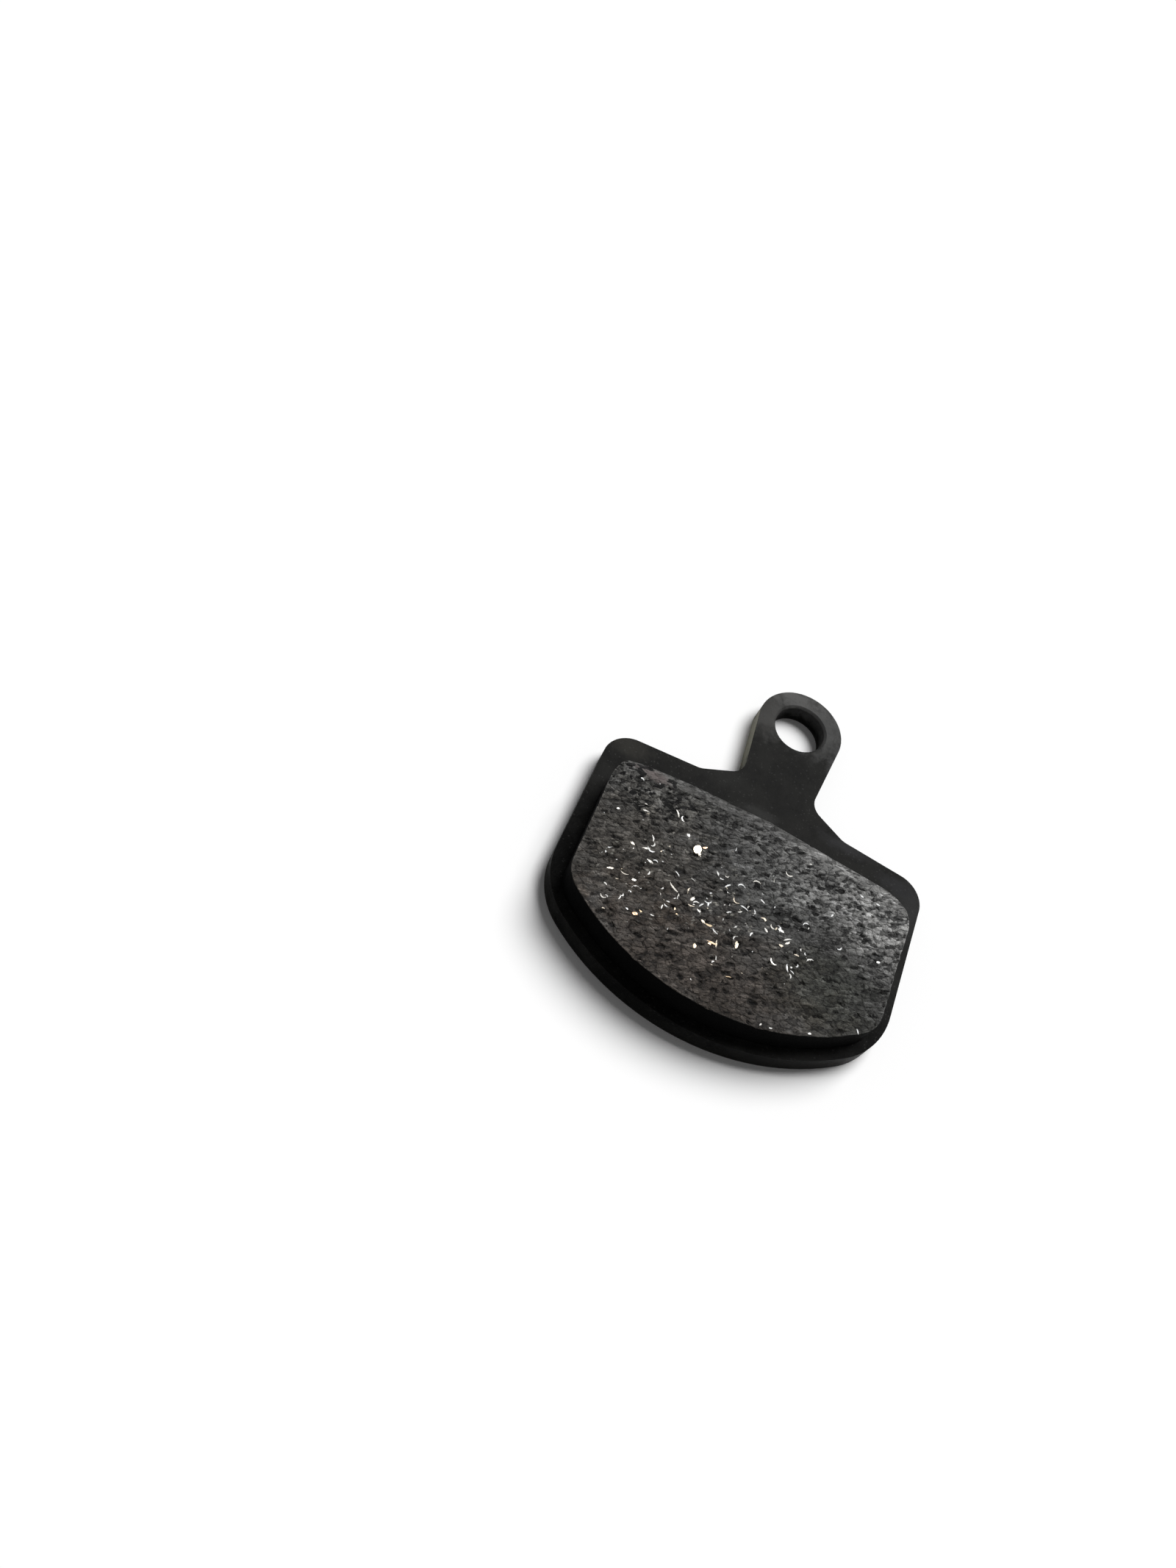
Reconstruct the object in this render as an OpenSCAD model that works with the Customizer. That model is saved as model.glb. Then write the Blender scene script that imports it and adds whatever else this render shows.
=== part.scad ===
// Disc brake pad for a bicycle caliper: a stamped steel backing plate with one
// retaining-pin tab, and a friction block moulded onto it through four keying holes.
// The origin is the pin hole's centre on the back face. +Y points out of the tab,
// and +Z points from the back face to the friction face.

/* [Pin tab] */
// Diameter of the retaining-pin hole
pin_hole_d = 4.5; // [3:0.1:5.4]
// Bevel round the mouth of the pin hole on the friction side
pin_hole_bevel = 0.2; // [0.05:0.05:0.4]
// Diameter of the tab's round head
tab_head_d = 7.6; // [7:0.1:9]
// Width of the tab where its sides meet the flare
tab_root_w = 6.3; // [5.4:0.1:7.2]
// Distance from the pin hole down to the tab's root
tab_root_drop = 7.15; // [6:0.05:9]
// Radius of the inner curve at the tab's root
tab_root_r = 1.5; // [0.5:0.1:2]

/* [Backing plate] */
// Thickness of the steel plate
plate_t = 1.8; // [1.2:0.1:3]
// Width across the plate's parallel sides
plate_w = 28.5; // [26:0.5:32]
// Height of the body, from its unrounded upper corners to the foot
body_h = 21.4; // [19:0.1:25]
// Width across the shoulders, where the flare from the tab ends
shoulder_w = 13.1; // [11:0.1:15]
// How far the flare drops from the tab's root to the shoulders
flare_drop = 1.7; // [1:0.05:2.5]
// How far each upper edge drops from its shoulder to the corner
upper_edge_drop = 0.6; // [0.2:0.05:1.5]
// Radius of the soft bend at each shoulder
shoulder_r = 1.7; // [0.5:0.1:4]
// Radius of the upper corners
upper_corner_r = 2.4; // [1:0.1:3]
// Radius of the lower corners
lower_corner_r = 6.2; // [4:0.1:7]
// Radius of the broad curve along the foot
foot_r = 19.8; // [18:0.1:26]

/* [Friction block] */
// Thickness of the friction compound above the plate
block_t = 2.4; // [1:0.1:4]
// Bare ledge of plate beside the block's upper corners
ledge_side = 1.2; // [0.8:0.1:2]
// Bare ledge of plate below the block's foot
ledge_foot = 0.9; // [0.5:0.1:1.5]
// Bare ledge of plate above the block's upper corners
ledge_top = 3.4; // [2.8:0.05:4.5]
// How far each side leans in from its upper end to its lower end
side_lean = 0.3; // [0:0.05:0.6]
// How far the tab-side edge rises from its ends to the middle
edge_rise = 0.85; // [0.4:0.05:1.2]
// Radius of the block's upper corners
block_upper_r = 3.1; // [1:0.1:3.5]
// Radius of the block's lower corners
block_lower_r = 2.8; // [1:0.1:4]
// Width of the lead-in bevel along the tab-side edge
bevel_w = 1.3; // [0.5:0.1:2]
// Depth of the lead-in bevel
bevel_drop = 0.5; // [0.1:0.05:0.8]

/* [Keying holes] */
// Diameter of the four holes that the compound fills
key_d = 3.2; // [2:0.1:4]
// Distance from the block's sides in to the upper pair
upper_key_inset = 4.9; // [4:0.1:6]
// Distance from the block's upper corners down to the upper pair
upper_key_drop = 4.4; // [4:0.1:6]
// Distance from the block's sides in to the lower pair
lower_key_inset = 7.2; // [6.5:0.1:9]
// Distance from the block's foot up to the lower pair
lower_key_rise = 5.2; // [4.5:0.1:7]
// How far the compound stops short of the back face
key_recess = 0.1; // [0.05:0.05:0.4]

/* [Hidden] */
$fn = 96;
// How far a cutting shape reaches past what it cuts
cut_margin = 1;
// Reach of the foot slice's sides, as a share of the foot curve's radius
slice_margin = 1.5;
// How far a corner's disc reaches past the straight edges that it touches
lap = 0.001;
straight_down = [0, -1];

root = [tab_root_w / 2, -tab_root_drop];
shoulder = [shoulder_w / 2, root.y - flare_drop];
corner = [plate_w / 2, shoulder.y - upper_edge_drop];
foot = [0, corner.y - body_h];
foot_centre = foot + [0, foot_r];

block_corner = corner - [ledge_side, ledge_top];
block_top = [0, block_corner.y + edge_rise];
block_foot = foot + [0, ledge_foot];
block_side = [-side_lean, block_foot.y - block_corner.y];
face_z = plate_t + block_t;

upper_key = block_corner - [upper_key_inset, upper_key_drop];
lower_key = [block_corner.x - side_lean - lower_key_inset, block_foot.y + lower_key_rise];

function unit(v) = v / norm(v);

function flipped(p) = [-p.x, p.y];

// Where a line from outside point p touches a circle round the origin, on its right
function touch_point(p, r) =
    let (turn = atan2(p.y, p.x) + acos(r / norm(p)))
    r * [cos(turn), sin(turn)];

// A rounded corner at b, as [where the curve starts, its centre, where it ends]
function rounding(a, b, c, r) =
    let (u = unit(a - b), v = unit(c - b), half = acos(u * v) / 2)
    [b + u * r / tan(half), b + unit(u + v) * r / sin(half), b + v * r / tan(half)];

// The corner where a right-hand side, which starts at p and runs along
// direction, meets the foot's curve
function foot_rounding(p, direction, centre, big_r, r) =
    let (
        u = unit(direction),
        start = p + r * [u.y, -u.x] - centre,
        along = sqrt(pow(big_r - r, 2) - start * start + pow(start * u, 2)) - start * u,
        middle = centre + start + along * u
    )
    [p + along * u, middle, centre + big_r * unit(middle - centre)];

// Outline of one side, then of the other side in the opposite order
function both_sides(path) =
    concat(path, [for (i = [len(path) - 1:-1:0]) flipped(path[i])]);

// Discs that round a pair of corners, added to it where the corner stands out
// and cut away where it goes in
module corner_discs(curve) {
    for (side = [-1, 1])
        translate([side * curve[1].x, curve[1].y])
            circle(norm(curve[0] - curve[1]) + lap);
}

// The broad curve between two lower corners, down from the level where they start
module foot_slice(lower_curve) {
    reach = foot_centre + (lower_curve[2] - foot_centre) * slice_margin;
    intersection() {
        translate(foot_centre) circle(norm(lower_curve[2] - foot_centre));
        polygon([
            [0, lower_curve[0].y],
            lower_curve[2], reach,
            flipped(reach), flipped(lower_curve[2])
        ]);
    }
}

// The plate without the tab's round head
module plate_outline() {
    neck = touch_point(root, tab_head_d / 2 - lap);
    root_curve = rounding(neck, root, shoulder, tab_root_r);
    shoulder_curve = rounding(root, shoulder, corner, shoulder_r);
    upper_curve = rounding(shoulder, corner, corner + straight_down, upper_corner_r);
    lower_curve = foot_rounding(corner, straight_down, foot_centre, foot_r, lower_corner_r);
    difference() {
        union() {
            polygon(both_sides([
                neck,
                root_curve[0], root_curve[2],
                shoulder_curve[0], shoulder_curve[2],
                upper_curve[0], upper_curve[2],
                lower_curve[0], lower_curve[2]
            ]));
            corner_discs(upper_curve);
            corner_discs(lower_curve);
            foot_slice(lower_curve);
        }
        corner_discs(root_curve);
        corner_discs(shoulder_curve);
    }
}

module block_outline() {
    block_foot_r = foot_r - ledge_foot;
    upper_curve = rounding(block_top, block_corner, block_corner + block_side, block_upper_r);
    lower_curve = foot_rounding(block_corner, block_side, foot_centre, block_foot_r, block_lower_r);
    polygon(both_sides([
        block_top,
        upper_curve[0], upper_curve[2],
        lower_curve[0], lower_curve[2]
    ]));
    corner_discs(upper_curve);
    corner_discs(lower_curve);
    foot_slice(lower_curve);
}

// One upright cylinder at each keying hole
module keys(bottom, top) {
    for (side = [-1, 1], key = [upper_key, lower_key])
        translate([side * key.x, key.y, bottom])
            cylinder(h = top - bottom, d = key_d);
}

// What the bevel takes off, along both halves of the tab-side edge
module bevel_cut() {
    slope = atan2(edge_rise, block_corner.x);
    rise = cut_margin * bevel_drop / bevel_w;
    for (side = [0, 1])
        mirror([side, 0, 0])
            translate([block_top.x, block_top.y, face_z])
                rotate([0, 0, -slope])
                    rotate([90, 0, 90])
                        translate([0, 0, -cut_margin])
                            linear_extrude(plate_w)
                                polygon([
                                    [-bevel_w - cut_margin, rise],
                                    [cut_margin, -bevel_drop - rise],
                                    [cut_margin, rise]
                                ]);
}

module backing_plate() {
    color([0.17, 0.17, 0.17])
    difference() {
        union() {
            linear_extrude(plate_t) plate_outline();
            cylinder(h = plate_t, d = tab_head_d);
        }
        translate([0, 0, -cut_margin])
            cylinder(h = plate_t + 2 * cut_margin, d = pin_hole_d);
        translate([0, 0, plate_t - pin_hole_bevel])
            cylinder(h = 2 * pin_hole_bevel, d1 = pin_hole_d, d2 = pin_hole_d + 4 * pin_hole_bevel);
        keys(-cut_margin, plate_t + cut_margin);
    }
}

module friction_block() {
    color([0.26, 0.25, 0.24])
    difference() {
        union() {
            translate([0, 0, plate_t]) linear_extrude(block_t) block_outline();
            keys(key_recess, face_z - bevel_drop);
        }
        bevel_cut();
    }
}

backing_plate();
friction_block();
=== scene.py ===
import math
import random

import bmesh
import bpy
import numpy as np
from mathutils import Matrix, Vector
from mathutils.bvhtree import BVHTree
from mathutils.geometry import delaunay_2d_cdt


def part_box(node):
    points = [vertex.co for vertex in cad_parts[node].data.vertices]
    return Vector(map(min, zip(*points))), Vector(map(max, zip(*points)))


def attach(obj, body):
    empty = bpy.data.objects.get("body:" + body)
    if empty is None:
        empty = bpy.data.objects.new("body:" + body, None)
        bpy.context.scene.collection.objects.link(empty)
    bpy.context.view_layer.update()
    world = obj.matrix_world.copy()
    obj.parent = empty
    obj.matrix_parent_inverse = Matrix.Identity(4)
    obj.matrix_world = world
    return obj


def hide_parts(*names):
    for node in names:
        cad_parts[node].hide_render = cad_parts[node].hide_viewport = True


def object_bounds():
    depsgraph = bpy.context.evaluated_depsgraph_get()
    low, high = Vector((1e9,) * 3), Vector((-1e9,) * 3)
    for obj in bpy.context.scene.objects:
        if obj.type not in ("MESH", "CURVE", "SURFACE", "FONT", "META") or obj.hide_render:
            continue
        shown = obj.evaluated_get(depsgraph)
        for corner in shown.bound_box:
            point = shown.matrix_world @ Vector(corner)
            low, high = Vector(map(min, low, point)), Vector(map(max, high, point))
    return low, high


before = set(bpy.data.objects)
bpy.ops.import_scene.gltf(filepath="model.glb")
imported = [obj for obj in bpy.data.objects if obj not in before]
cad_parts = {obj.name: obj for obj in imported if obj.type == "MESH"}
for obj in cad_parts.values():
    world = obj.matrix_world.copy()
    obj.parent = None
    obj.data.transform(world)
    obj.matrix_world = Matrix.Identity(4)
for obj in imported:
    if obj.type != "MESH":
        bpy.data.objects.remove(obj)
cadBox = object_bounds()
mm = 0.001
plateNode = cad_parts["backing_plate"]
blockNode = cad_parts["friction_block"]
plateLow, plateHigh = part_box("backing_plate")
blockLow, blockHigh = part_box("friction_block")
print("frame loaded, the pad is", round((cadBox[1].x - cadBox[0].x) / mm, 2), "mm wide")


def newObject(name, data):
    made = bpy.data.objects.new(name, data)
    bpy.context.scene.collection.objects.link(made)
    return made


# a node with its settings and values; a value that is another node's socket is linked
def addNode(tree, kind, values=None, **settings):
    made = tree.nodes.new(kind)
    for name, value in settings.items():
        setattr(made, name, value)
    for name, value in (values or {}).items():
        if isinstance(value, bpy.types.NodeSocket):
            tree.links.new(value, made.inputs[name])
        else:
            made.inputs[name].default_value = value
    return made


def newMaterial(name):
    made = bpy.data.materials.new(name)
    made.use_nodes = True
    made.node_tree.nodes.clear()
    return made, made.node_tree


def finishMaterial(tree, shader):
    addNode(tree, "ShaderNodeOutputMaterial", {"Surface": shader.outputs[0]})


def finishSurface(tree, colour, roughness, normal, constants):
    values = {"Base Color": colour, "Roughness": roughness, "Normal": normal, **constants}
    finishMaterial(tree, addNode(tree, "ShaderNodeBsdfPrincipled", values))


def mathNode(tree, operation, first, second=0.5):
    return addNode(tree, "ShaderNodeMath", {0: first, 1: second}, operation=operation).outputs[0]


def mixColour(tree, factor, first, second, blend="MIX"):
    first, second = [(*value, 1) if isinstance(value, tuple) else value for value in (first, second)]
    values = {0: factor, 6: first, 7: second}
    made = addNode(tree, "ShaderNodeMix", values, data_type="RGBA", blend_type=blend, clamp_factor=True)
    return made.outputs[2]


def colourRamp(tree, source, stops):
    made = addNode(tree, "ShaderNodeValToRGB", {0: source})
    elements = made.color_ramp.elements
    while len(elements) < len(stops):
        elements.new(0.5)
    for element, (place, colour) in zip(elements, stops):
        element.position = place
        element.color = (*colour, 1) if isinstance(colour, tuple) else (colour, colour, colour, 1)
    return made.outputs[0]


def mapRange(tree, source, low, high, newLow=0.0, newHigh=1.0):
    values = {"Value": source, "From Min": low, "From Max": high, "To Min": newLow, "To Max": newHigh}
    return addNode(tree, "ShaderNodeMapRange", values, interpolation_type="SMOOTHSTEP").outputs[0]


def bumpFrom(tree, height, distance, after=None):
    values = {"Height": height, "Distance": distance, "Strength": 1.0}
    if after is not None:
        values["Normal"] = after
    return addNode(tree, "ShaderNodeBump", values).outputs[0]


def objectPlace(tree):
    return addNode(tree, "ShaderNodeTexCoord").outputs["Object"]


# soft ragged patches: where the mask starts and where it is full, counted in the patch's reach,
# how far its edge wanders, and how many mm away from its level it fades out
patch = {"start": 1.4, "full": 0.4, "wander": 0.4, "fade": 1.4}


# mask of a patch with a centre and reach in mm; without a level it goes right through the piece
def patchMask(tree, centre, reach, ragged, level=None):
    fade = patch["fade"]
    drop, rise = (0, 0) if level is None else (-level / fade, 1 / (fade * mm))
    place = addNode(tree, "ShaderNodeMapping", {
        "Vector": objectPlace(tree),
        "Location": (-centre[0] / reach[0], -centre[1] / reach[1], drop),
        "Scale": (1 / (reach[0] * mm), 1 / (reach[1] * mm), rise),
    })
    away = addNode(tree, "ShaderNodeVectorMath", {0: place.outputs[0]}, operation="LENGTH")
    edge = mathNode(tree, "ADD", away.outputs["Value"], mathNode(tree, "MULTIPLY", ragged, patch["wander"]))
    return mapRange(tree, edge, patch["start"], patch["full"])


# the strongest of several patches
def patchesMask(tree, patches, ragged, level):
    mask = 0.0
    for centre, reach, strength in patches:
        inside = mathNode(tree, "MULTIPLY", patchMask(tree, centre, reach, ragged, level), strength)
        mask = mathNode(tree, "MAXIMUM", inside, mask)
    return mask


# tints a colour area by area, by covering it or by multiplying it
def tintAreas(tree, colour, areas, ragged, level, blend="MIX"):
    for centre, reach, tint in areas.values():
        inside = patchMask(tree, centre, reach, ragged, level)
        colour = mixColour(tree, inside, colour, tint, blend)
    return colour


# 1 for the rays that a surface is seen by: straight, mirrored or through something
def seenMask(tree, rays):
    seen = mathNode(tree, "MAXIMUM", rays["Is Camera Ray"], rays["Is Glossy Ray"])
    return mathNode(tree, "MAXIMUM", seen, rays["Is Transmission Ray"])


# shader effects that more than one finish uses

def groupTree(name, inputs, outputs):
    tree = bpy.data.node_groups.new(name, "ShaderNodeTree")
    for label, value in inputs.items():
        socket = tree.interface.new_socket(name=label, in_out="INPUT", socket_type="NodeSocketFloat")
        socket.default_value = value
    for label in outputs:
        tree.interface.new_socket(name=label, in_out="OUTPUT", socket_type="NodeSocketFloat")
    return tree, addNode(tree, "NodeGroupInput").outputs


def vectorMath(tree, operation, values):
    return addNode(tree, "ShaderNodeVectorMath", values, operation=operation).outputs[0]


# coordinates drawn out along X
def drawnOut(tree, vector, stretch):
    inverse = mathNode(tree, "DIVIDE", 1.0, stretch)
    ratio = addNode(tree, "ShaderNodeCombineXYZ", {"X": inverse, "Y": 1.0, "Z": 1.0})
    return vectorMath(tree, "MULTIPLY", {0: vector, 1: ratio.outputs[0]})


mottleShape = {"turn": -24, "roughness": 0.62, "distortion": 0.4, "span": (0.32, 0.68)}    # turn in degrees
heightSpan = (0.3, 0.7)    # most of a mottle's height lies between these


# soft uneven tone, drawn out along the grain when Stretch is over 1
def makeMottle():
    tree, given = groupTree(
        "softMottle", {"Scale": 1000.0, "Stretch": 1.0, "Detail": 5.0}, ["Tone", "Height"]
    )
    turned = addNode(tree, "ShaderNodeMapping", {
        "Vector": objectPlace(tree),
        "Rotation": (0, 0, math.radians(mottleShape["turn"])),
    })
    cloud = addNode(tree, "ShaderNodeTexNoise", {
        "Vector": drawnOut(tree, turned.outputs[0], given["Stretch"]),
        "Scale": given["Scale"],
        "Detail": given["Detail"],
        "Roughness": mottleShape["roughness"],
        "Distortion": mottleShape["distortion"],
    }).outputs["Fac"]
    tone = mapRange(tree, cloud, *mottleShape["span"])
    addNode(tree, "NodeGroupOutput", {"Tone": tone, "Height": cloud})
    return tree


gritShape = {"warpScale": 0.8, "warpDetail": 3.0, "rimWidth": 0.16, "edgeWidth": 0.1}


# packed flakes or grains: a height, a random value for each, its dark edge, and a mask of rare ones
def makeGrit():
    tree, given = groupTree(
        "packedFlakes",
        {"Scale": 5000.0, "Stretch": 1.0, "Turn": 0.0, "Ragged": 0.9, "Rarity": 0.94},
        ["Height", "Random", "Edge", "Rare"],
    )
    place = objectPlace(tree)
    warp = addNode(tree, "ShaderNodeTexNoise", {
        "Vector": place,
        "Scale": mathNode(tree, "MULTIPLY", given["Scale"], gritShape["warpScale"]),
        "Detail": gritShape["warpDetail"],
    })
    turn = {"Vector": place, "Angle": given["Turn"]}
    turned = addNode(tree, "ShaderNodeVectorRotate", turn, rotation_type="Z_AXIS")
    scaled = vectorMath(tree, "SCALE", {0: turned.outputs[0], "Scale": given["Scale"]})
    stretched = drawnOut(tree, scaled, given["Stretch"])
    drift = vectorMath(tree, "SCALE", {0: warp.outputs["Color"], "Scale": given["Ragged"]})
    pattern = {"Vector": vectorMath(tree, "ADD", {0: drift, 1: stretched}), "Scale": 1.0}
    cells = addNode(tree, "ShaderNodeTexVoronoi", pattern, feature="F1")
    rims = addNode(tree, "ShaderNodeTexVoronoi", pattern, feature="DISTANCE_TO_EDGE").outputs["Distance"]
    split = addNode(tree, "ShaderNodeSeparateColor", {0: cells.outputs["Color"]}).outputs
    plateau = mapRange(tree, rims, 0.0, gritShape["rimWidth"])
    addNode(tree, "NodeGroupOutput", {
        "Height": mathNode(tree, "ADD", plateau, split[0]),
        "Random": split[1],
        "Edge": mapRange(tree, rims, gritShape["edgeWidth"], 0.0),
        "Rare": mathNode(tree, "GREATER_THAN", split[2], given["Rarity"]),
    })
    return tree


mottleTree = makeMottle()
gritTree = makeGrit()


def useGroup(tree, group, **values):
    return addNode(tree, "ShaderNodeGroup", values, node_tree=group).outputs


print("shader effects built")


# black satin coating of the steel plate
coating = {
    "dark": (0.008, 0.008, 0.0076),
    "light": (0.0195, 0.0193, 0.0183),
    "toneShare": 0.8,
    "soft": {"Scale": 420.0, "Detail": 6.0},
    "blotch": {"Scale": 1100.0, "Detail": 6.0},
    "peel": {"Scale": 2600.0, "Detail": 2.0},
    "peelDepth": 0.02 * mm,
    "grit": {"Scale": 9000.0, "Rarity": 0.97},
    "gritDepth": 0.006 * mm,
    "speck": (0.05, 0.05, 0.048),
    "speckShare": 0.35,
    "roughness": (0.36, 0.52),
    "shader": {"Specular IOR Level": 0.02},
    "weldGap": 0.001 * mm,
    "edgeRadius": 0.16 * mm,
    "edgeSegments": 3,
    "edgeAngle": 35,  # faces that meet at more degrees than this get a rolled edge
    # the tab's left side, painted pale as a reflection of the pale floor: colour, centre and reach in mm,
    # and the normal's X where it starts and where it is full
    "paintedReflection": (0.42, 0.41, 0.33),
    "paintedReflectionPlace": (-3.6, -2.6),
    "paintedReflectionReach": (0.9, 4.6),
    "paintedReflectionFacing": (-0.8, -0.97),
    # painted sheen and painted highlights, one paler strip above the block, and painted shade in the shaded
    # ones: centre and reach in mm, colour
    "areas": {
        "paintedSheenLeftOfHead": ((-3.1, 0.2), (2.4, 3.6), (0.054, 0.053, 0.051)),
        "paintedSheenLeftFlare": ((-4.4, -8.4), (2.6, 1.4), (0.018, 0.018, 0.017)),
        "paintedSheenHead": ((1.4, 1.2), (3.9, 3.7), (0.073, 0.073, 0.072)),
        "paintedHighlightHeadTop": ((-1.3, 2.9), (3.0, 1.5), (0.1, 0.099, 0.097)),
        "paintedSheenRightEdge": ((4.6, -1.2), (1.6, 4.0), (0.054, 0.054, 0.054)),
        # a paler strip on the coating just above the block
        "paleStripByBlock": ((-0.7, -10.2), (1.9, 0.7), (0.027, 0.027, 0.026)),
        "paintedSheenRightCorner": ((13.4, -12.0), (1.8, 3.5), (0.026, 0.026, 0.026)),
        "paintedSheenShoulder": ((6.9, -9.3), (2.8, 0.8), (0.026, 0.026, 0.027)),
        "paintedSheenCorner": ((11.9, -10.5), (2.2, 0.9), (0.024, 0.024, 0.025)),
        "paintedSheenLeftCorner": ((-12.6, -10.2), (2.4, 1.3), (0.028, 0.027, 0.024)),
        "shadedLedge": ((-13.9, -24.0), (2.2, 8.5), (0.0014, 0.0014, 0.0013)),
        "shadedFoot": ((-5.0, -31.5), (11.0, 3.2), (0.0022, 0.0022, 0.0021)),
        "shadedCorner": ((12.8, -25.2), (2.9, 5.2), (0.0026, 0.0026, 0.0025)),
    },
}


def makeCoating():
    material, tree = newMaterial("satinBlackCoating")
    soft = useGroup(tree, mottleTree, **coating["soft"])
    peel = useGroup(tree, mottleTree, **coating["peel"])
    grit = useGroup(tree, gritTree, **coating["grit"])
    blotch = useGroup(tree, mottleTree, **coating["blotch"])
    tone = mathNode(tree, "MULTIPLY", soft["Tone"], coating["toneShare"])
    base = colourRamp(tree, tone, [(0.0, coating["dark"]), (1.0, coating["light"])])
    # painted sheen, painted highlight and painted shade, area by area over the plate
    base = tintAreas(tree, base, coating["areas"], blotch["Tone"], plateHigh.z / mm)
    specks = mathNode(tree, "MULTIPLY", grit["Rare"], coating["speckShare"])
    base = mixColour(tree, specks, base, coating["speck"])
    # painted reflection: the tab's left side turns pale where it faces -X
    normal = addNode(tree, "ShaderNodeNewGeometry").outputs["Normal"]
    facing = addNode(tree, "ShaderNodeSeparateXYZ", {0: normal})
    turned = mapRange(tree, facing.outputs["X"], *coating["paintedReflectionFacing"])
    reached = patchMask(tree, coating["paintedReflectionPlace"], coating["paintedReflectionReach"], blotch["Tone"])
    base = mixColour(tree, mathNode(tree, "MULTIPLY", turned, reached), base, coating["paintedReflection"])
    roughness = mapRange(tree, soft["Height"], *heightSpan, *coating["roughness"])
    fine = bumpFrom(tree, grit["Height"], coating["gritDepth"])
    normal = bumpFrom(tree, peel["Height"], coating["peelDepth"], after=fine)
    finishSurface(tree, base, roughness, normal, coating["shader"])
    return material


def finishPlate():
    plateNode.data.materials[0] = makeCoating()
    weld = plateNode.modifiers.new("joinEdges", "WELD")
    weld.merge_threshold = coating["weldGap"]
    soften = plateNode.modifiers.new("rolledEdges", "BEVEL")
    soften.width = coating["edgeRadius"]
    soften.segments = coating["edgeSegments"]
    soften.limit_method = "ANGLE"
    soften.angle_limit = math.radians(coating["edgeAngle"])
    soften.harden_normals = False
    evenNormals = plateNode.modifiers.new("evenNormals", "WEIGHTED_NORMAL")
    evenNormals.keep_sharp = False


finishPlate()
print("backing plate finished")


# moulded friction block: a ground face of packed grains inside a black moulded skin, whose near-black
# colour also paints the shade on its walls
block = {
    "step": 0.092,  # mesh spacing over the face, mm
    "probe": 0.02,  # how far inside an edge the CAD block's height is read, mm
    "rim": 0.12,  # radius of the worn upper edge, mm
    "rimTurns": (30, 60),  # degrees round the worn edge, one ring of points each
    "rimInset": 0.01,
    "nick": 0.11,  # depth of the deepest nicks in that edge, mm
    "nickSizes": (0.42, 1.9),
    "nickSpan": (0.26, 0.6),
    "nickWear": 0.5,  # how far a nick widens the edge, as a share of its depth
    "nickDrop": 0.6,
    "rimRelief": 0.5,
    "wallRows": 14,
    "wallGrain": 0.23,
    "skinRough": 0.02,
    "skinTear": 0.9,  # size of the torn stretches of skin along the edge, mm
    "skinTearSpan": (0.35, 0.75),
    "skinLeft": (1.0, 0.45),
    "grainTurn": 24,  # way the flakes lie, degrees from +X
    "flake": (0.95, 0.42),  # length and width of the flakes, mm
    "flakeStep": 0.055,
    "flakeCrack": 0.22,  # width of the cracks, as a share of a flake
    "crack": 0.05,
    "fleck": (0.34, 0.17),
    "fleckTurn": 12,
    "fleckStep": 0.03,
    "fleckCrack": 0.25,
    "fleckDepth": 0.4,  # depth of the cracks between flecks, as a share of the others
    "pit": (1.05, 0.52),  # spacing of the pits, mm
    "pitTurn": -6,
    "pitShare": 0.3,
    "pitSize": 0.2,
    "pitSpread": 0.22,
    "pitFloor": 0.7,
    "pitDepth": 0.13,
    "swell": 0.03,
    "swellSize": 3.1,
    "toneShares": (0.6, 0.4),
    "crackShares": (0.75, 0.35),
    "seed": 7,
    # where the pressed edge bulges a little: centre, reach and push in mm
    "bulges": [
        ((-12.3, -13.5), (1.3, 1.3), (-0.20, 0.30)),
        ((-7.0, -12.4), (4.2, 1.6), (0.0, 0.20)),
    ],
}

# the lead-in bevel was pressed, not ground: smoother, torn along its inner line, and painted paler as a
# sheen
bevel = {
    "drop": 0.5,  # depth at the tab-side edge, mm
    "span": (0.03, 0.2),  # where the pressed look starts and is full, as shares of the drop
    "calm": 0.55,
    "pitCalm": 0.6,
    "crackPit": 0.7,
    # painted sheen: the bevel band's paler tone
    "tone": 0.62,
    "toneCalm": 0.55,
    "tearPlace": 0.05,
    "tearWidth": 0.1,
    "tearSize": 0.5,
    "tearSpan": (0.38, 0.62),
    "tearSide": (5.0, -3.0),  # X where the torn stretch starts and is full, mm
    "tearDepth": 0.06,
}

latticeSize = 64    # cells before the random fields repeat
mergeGap = 1e-7     # points closer than this in mm count as one
fill = {"rowGap": 0.866, "nudge": 0.22, "margin": 0.55}    # shares of the mesh spacing
cellWarp = {"share": 0.45, "size": 0.3}


# smooth random field over points in mm, one random value for each lattice point
def softNoise(points, size, seed):
    lattice = np.random.default_rng(seed).random((latticeSize, latticeSize))
    u, v = points[:, 0] / size, points[:, 1] / size
    iu, iv = np.floor(u).astype(int), np.floor(v).astype(int)
    fu, fv = u - iu, v - iv
    fu, fv = fu * fu * (3 - 2 * fu), fv * fv * (3 - 2 * fv)
    corner = [[lattice[(iu + a) % latticeSize, (iv + b) % latticeSize] for b in (0, 1)] for a in (0, 1)]
    left = corner[0][0] * (1 - fv) + corner[0][1] * fv
    right = corner[1][0] * (1 - fv) + corner[1][1] * fv
    return left * (1 - fu) + right * fu


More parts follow.
